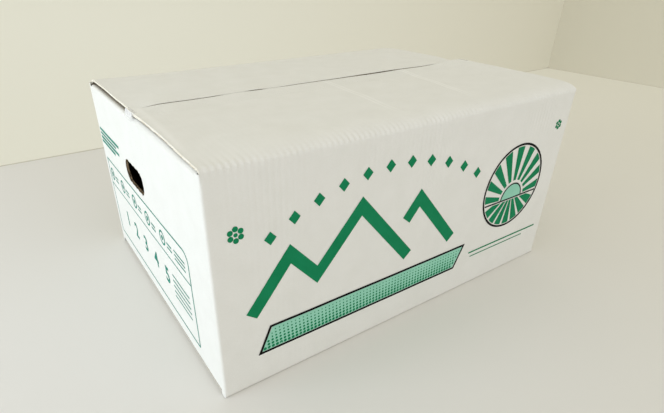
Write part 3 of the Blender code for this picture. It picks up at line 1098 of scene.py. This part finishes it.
def build_long_wall_print(wall):
    """The print on a long wall."""
    green, pale, black = emblem_shapes()
    band, dots = band_shapes()
    green += [stroke(RIDGE, RIDGE_WIDTH), stroke(LOW_RIDGE, RIDGE_WIDTH)]
    green += diamond_shapes()
    for x, z, radius in ROSETTES:
        green += rosette(x, z, radius)
    green += [stroke(line, width) for line, width in GROUND_LINES]
    black.append(stroke(band_loop(0.0016), OUTLINE_WIDTH, closed=True))
    for name, shapes, layer, material, slot in (("pale", pale + band, 0, PALE_INK, "pale_green_print"),
                                                ("dots", dots, 1, GREEN_INK, "green_print"),
                                                ("green", green, 1, GREEN_INK, "green_print"),
                                                ("black", black, 2, BLACK_INK, "black_print")):
        print_film(wall + "_print_" + name, wall, shapes, layer, material, slot)


# The end walls' print: an empty table with plain numbers

TABLE_LEFT = -0.171
TABLE_RIGHT = 0.130
TABLE_LEVELS = (0.138, 0.102, 0.024)
TABLE_LINE = 0.0014
TABLE_CORNER = 0.012
MARK_PLACES = (-0.155, -0.103, -0.051, 0.001, 0.053)
NUMBER_PLACES = (-0.112, -0.072, -0.032, 0.008, 0.048)
NUMBER_LEVEL = 0.058
NUMBER_HEIGHT = 0.022
MARK_LEVEL = 0.119
MARK_RADIUS = 0.0078
MARK_LINE = 0.0022
MARK_DOT = 0.0032
HEAD_BARS = (0.089, 0.119, 0.112, 0.005, 3, 0.0017)     # low and high s, first level, pitch, count, width
FOOT_BARS = (0.068, 0.118, 0.052, 0.007, 5, 0.0018)
TEXT_BARS = ((0.096, 0.0036), (0.080, 0.0028), (0.092, 0.0036), (0.070, 0.0036))    # lengths and widths
TEXT_BARS_LEFT = -0.177
TEXT_BARS_TOP = 0.1785
TEXT_BARS_PITCH = 0.0056


def number_shapes(digit, x, z, height):
    """A plain digit as flat triangles, from Blender's own font."""
    curve = bpy.data.curves.new("digit", "FONT")
    curve.body = digit
    curve.size = height / 0.73
    curve.align_x = "CENTER"
    curve.offset = 0.0006
    holder = bpy.data.objects.new("digit", curve)
    mesh = bpy.data.meshes.new_from_object(holder)
    mesh.calc_loop_triangles()
    flat = np.array([(x + v.co.x, z + v.co.y) for v in mesh.vertices])
    faces = np.array([tuple(t.vertices) for t in mesh.loop_triangles])
    bpy.data.objects.remove(holder)
    bpy.data.curves.remove(curve)
    bpy.data.meshes.remove(mesh)
    key, index = np.unique(np.round(flat, 7), axis=0, return_inverse=True)
    faces = index.reshape(-1)[faces]
    return key, faces


def bar_shapes(low, high, level, pitch, count, width):
    """Level bars above each other."""
    return [stroke([(low, level + pitch * k), (high, level + pitch * k)], width) for k in range(count)]


def build_end_print(wall):
    """The table, its round marks and numbers, and a block of bars above it."""
    head, middle, foot = TABLE_LEVELS
    corner = circle((TABLE_RIGHT - TABLE_CORNER, head - TABLE_CORNER), TABLE_CORNER, pi / 2, 0, radians(15))
    edge = np.vstack(([(TABLE_LEFT, foot), (TABLE_LEFT, head)], corner, [(TABLE_RIGHT, foot)]))
    shapes = [stroke(edge, TABLE_LINE * 1.3),
              stroke([(TABLE_LEFT, middle), (TABLE_RIGHT, middle)], TABLE_LINE),
              stroke([(TABLE_LEFT, foot), (TABLE_RIGHT, foot)], TABLE_LINE * 1.3)]
    for x in MARK_PLACES:
        shapes.append(stroke(circle((x, MARK_LEVEL), MARK_RADIUS, step=radians(15)), MARK_LINE, closed=True))
        shapes.append(disc(x, MARK_LEVEL, MARK_DOT))
        shapes += bar_shapes(x + 0.014, x + 0.028, MARK_LEVEL - 0.0045, 0.0050, 2, 0.0020)
    shapes += bar_shapes(*HEAD_BARS)
    for digit, x in zip("12345", NUMBER_PLACES):
        shapes.append(number_shapes(digit, x, NUMBER_LEVEL, NUMBER_HEIGHT))
    shapes += bar_shapes(*FOOT_BARS)
    for k, (length, width) in enumerate(TEXT_BARS):
        z = TEXT_BARS_TOP - TEXT_BARS_PITCH * k
        shapes.append(stroke([(TEXT_BARS_LEFT, z), (TEXT_BARS_LEFT + length, z)], width))
    print_film(wall + "_print", wall, shapes, 0, TABLE_INK, "pale_green_print")


# The photograph's view and a plain studio

IMAGE_WIDTH = 664
IMAGE_HEIGHT = 413
FOCAL_PIXELS = 468.76
CENTRE_U = 306.8            # where the camera's axis meets the image
CENTRE_V = 232.96
CAMERA_PLACE = (-0.3557, -0.4952, 0.3704)
CAMERA_HEADING = radians(-33.374)
CAMERA_PITCH = radians(29.842)


def build_camera():
    """The camera of the photograph."""
    data = bpy.data.cameras.new("camera")
    data.sensor_width = 36
    data.lens = FOCAL_PIXELS / IMAGE_WIDTH * data.sensor_width
    data.shift_x = (IMAGE_WIDTH / 2 - CENTRE_U) / IMAGE_WIDTH
    data.shift_y = (CENTRE_V - IMAGE_HEIGHT / 2) / IMAGE_WIDTH
    data.clip_start = 0.01
    camera = bpy.data.objects.new("camera", data)
    camera.location = CAMERA_PLACE
    camera.rotation_euler = (pi / 2 - CAMERA_PITCH, 0, CAMERA_HEADING)
    bpy.context.scene.collection.objects.link(camera)
    bpy.context.scene.camera = camera


def area_light(name, place, target, size, power, colour):
    """A soft square light that faces a point."""
    data = bpy.data.lights.new(name, "AREA")
    data.size = size
    data.energy = power
    data.color = colour
    light = bpy.data.objects.new(name, data)
    light.location = place
    light.rotation_euler = (Vector(target) - Vector(place)).to_track_quat("-Z", "Y").to_euler()
    bpy.context.scene.collection.objects.link(light)


# Each light's place, target, size, power and colour
LIGHTS = (
    ("window", (-1.7, 0.1, 0.32), (-0.1, 0, 0.1), 1.0, 16.9, (0.715, 0.835, 1.0)),
    ("room", (0.6, -2.2, 0.5), (0, 0, 0.1), 1.6, 5.5, (0.60, 0.68, 1.0)),
)
SKY = (0.890, 0.873, 0.810)
TABLE_BACK = 0.64           # where the table's top ends behind the carton and on its right
TABLE_RIGHT_END = 1.58
TABLE_REACH = 3.0
TABLE_SHADE_STRIP = 0.007         # a darker strip along the table's edges, laid on its top: painted shade where the table meets the walls
SHADE_STRIP_LEVEL = 0.0002
ROOM_SCALE = 3.6            # the walls stand this many times further from the camera than the table's edges
ROOM_FOOT = -2.5
ROOM_TOP = 7.5


def from_camera(x, y, scale):
    """A place on the floor plan, moved straight away from the camera."""
    return (CAMERA_PLACE[0] + (x - CAMERA_PLACE[0]) * scale, CAMERA_PLACE[1] + (y - CAMERA_PLACE[1]) * scale)


def level_corners(left, right, near, far, level):
    """The corners of a level rectangle."""
    return [(left, near, level), (right, near, level), (right, far, level), (left, far, level)]


def upright_corners(start, end):
    """The corners of a wall of the room between two places on the floor plan."""
    return [(*start, ROOM_FOOT), (*end, ROOM_FOOT), (*end, ROOM_TOP), (*start, ROOM_TOP)]


def stage_plane(name, corners, light, dark, scale=1.0):
    """A flat surface of the room, its colour running from one tone on the left to another on the right, as
    painted shade that stands in for how the window's light falls across the room.
    """
    mesh = bpy.data.meshes.new(name)
    mesh.from_pydata(corners, [], [(0, 1, 2, 3)])
    plane = bpy.data.objects.new(name, mesh)
    bpy.context.scene.collection.objects.link(plane)
    material, tree, shader = new_material(name)
    shader.inputs["Roughness"].default_value = 0.7
    shader.inputs["Specular IOR Level"].default_value = 0.2
    low, high = (from_camera(x, 0, scale)[0] for x in (-0.6, 1.5))
    across = ranged(tree, axes(tree, object_place(tree))[0], low, high)
    tree.links.new(ramp(tree, across, ((0.0, light), (1.0, dark))), shader.inputs["Base Color"])
    mesh.materials.append(material)


def build_studio():
    """A pale table in the corner of a cream room, with daylight from a window on the left."""
    reach, back, right = TABLE_REACH, TABLE_BACK, TABLE_RIGHT_END
    # The table's colour is darker on the left and warmer on the right: painted shade that evens out how the
    # window's light falls on it.
    stage_plane("table", level_corners(-reach, right, -reach, back, 0),
                (0.745, 0.73, 0.70), (0.80, 0.78, 0.69))
    # Painted shade: darker strips along the table's back and right edges, where it meets the walls.
    stage_plane("table_back_shade_line", level_corners(-reach, right, back - TABLE_SHADE_STRIP, back, SHADE_STRIP_LEVEL),
                (0.60, 0.58, 0.50), (0.66, 0.63, 0.53))
    stage_plane("table_right_shade_line", level_corners(right - TABLE_SHADE_STRIP, right, -reach, back, SHADE_STRIP_LEVEL),
                (0.66, 0.63, 0.53), (0.66, 0.63, 0.53))
    left, near = from_camera(-reach, -reach, ROOM_SCALE)
    right, back = from_camera(right, back, ROOM_SCALE)
    # The back wall is darker towards the right as painted shade, away from the window.
    stage_plane("back_wall", upright_corners((left, back), (right, back)),
                (0.845, 0.845, 0.755), (0.785, 0.765, 0.665), ROOM_SCALE)
    # The right wall is the same cream as the back wall, given a darker tone as painted shade.
    stage_plane("right_wall", upright_corners((right, back), (right, near)),
                (0.71, 0.69, 0.59), (0.71, 0.69, 0.59), ROOM_SCALE)
    world = bpy.data.worlds.new("sky")
    world.use_nodes = True
    sky = world.node_tree.nodes["Background"]
    sky.inputs["Color"].default_value = (*SKY, 1)
    sky.inputs["Strength"].default_value = 1.0
    bpy.context.scene.world = world
    for name, place, target, size, power, colour in LIGHTS:
        area_light(name, place, target, size, power, colour)
    bpy.context.scene.view_settings.view_transform = "Standard"


build_camera()
build_studio()
build_sleeve()
for wall_name in WALLS:
    build_wall_layers(wall_name)
build_glue_tab()
for where_name in ("top", "bottom"):
    for long_wall_name in LONG_WALLS:
        build_long_flap(long_wall_name, where_name)
    for end_wall_name in END_WALLS:
        build_short_flap(end_wall_name, where_name)
for build, wall_names in ((build_flap_ends, LONG_WALLS), (build_flap_tape, LONG_WALLS),
                          (build_tape_tail, ("left", "right")), (build_long_wall_print, LONG_WALLS),
                          (build_end_print, ("left", "right"))):
    for wall_name in wall_names:
        build(wall_name)
